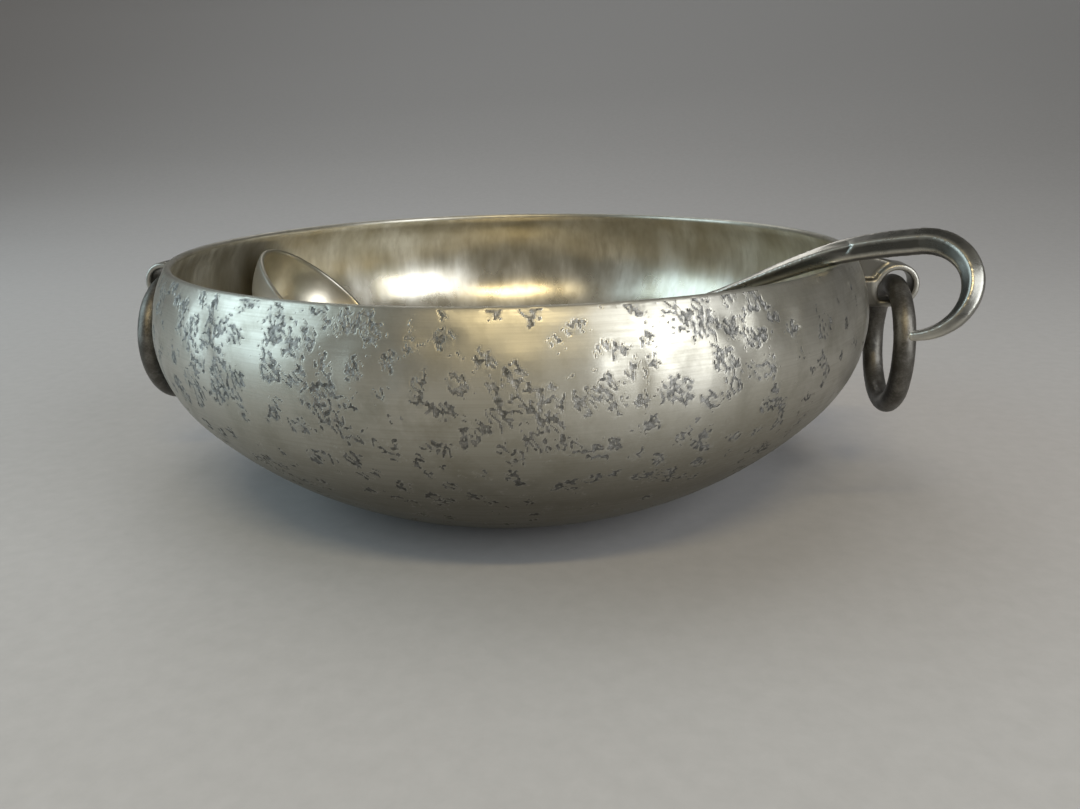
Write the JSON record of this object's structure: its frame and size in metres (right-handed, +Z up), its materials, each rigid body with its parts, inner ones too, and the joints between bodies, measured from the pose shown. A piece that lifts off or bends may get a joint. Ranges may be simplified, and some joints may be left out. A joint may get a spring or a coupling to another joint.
{
  "type": "ring-handled serving bowl with ladle",
  "caption": "Round pewter serving bowl with a turned-in rim, hanging ring handles on soldered lugs, and a hooked ladle lying in it over the rim.",
  "frame": {"origin": "middle of the bowl's flat foot, on the surface it stands on", "axes": "+Z up; +X toward the right lug, with both lugs on the X axis; +Y away from the viewer"},
  "size_m": [0.3444, 0.2998, 0.1183],
  "materials": {
    "bowl_pewter": "brushed pewter with dark gouged pits outside, polished inside",
    "lug_pewter": "worn satin pewter",
    "ring_metal": "dark oxidised metal, rubbed on the edges",
    "ladle_pewter": "polished pewter, rubbed bright on the ridges"
  },
  "bodies": {
    "bowl": {"bowl": "bowl_pewter", "lug_right": "lug_pewter", "lug_left": "lug_pewter"},
    "ring_right": {"ring_right": "ring_metal"},
    "ring_left": {"ring_left": "ring_metal"},
    "ladle": {"ladle_cup": "ladle_pewter", "ladle_handle": "ladle_pewter"}
  },
  "joints": [
    {"name": "ring_right_swing", "type": "hinge", "parent": "bowl", "child": "ring_right", "pos_m": [0.16302, 0, 0.08579], "axis": [0, -1, 0], "range_deg": [-24, 170]},
    {"name": "ring_left_swing", "type": "hinge", "parent": "bowl", "child": "ring_left", "pos_m": [-0.16302, 0, 0.08579], "axis": [0, 1, 0], "range_deg": [-24, 170]},
    {"name": "ladle_lift", "type": "slide", "parent": "bowl", "child": "ladle", "axis": [0.302, -0.1606, 0.9397], "range_m": [0, 0.12]}
  ]
}
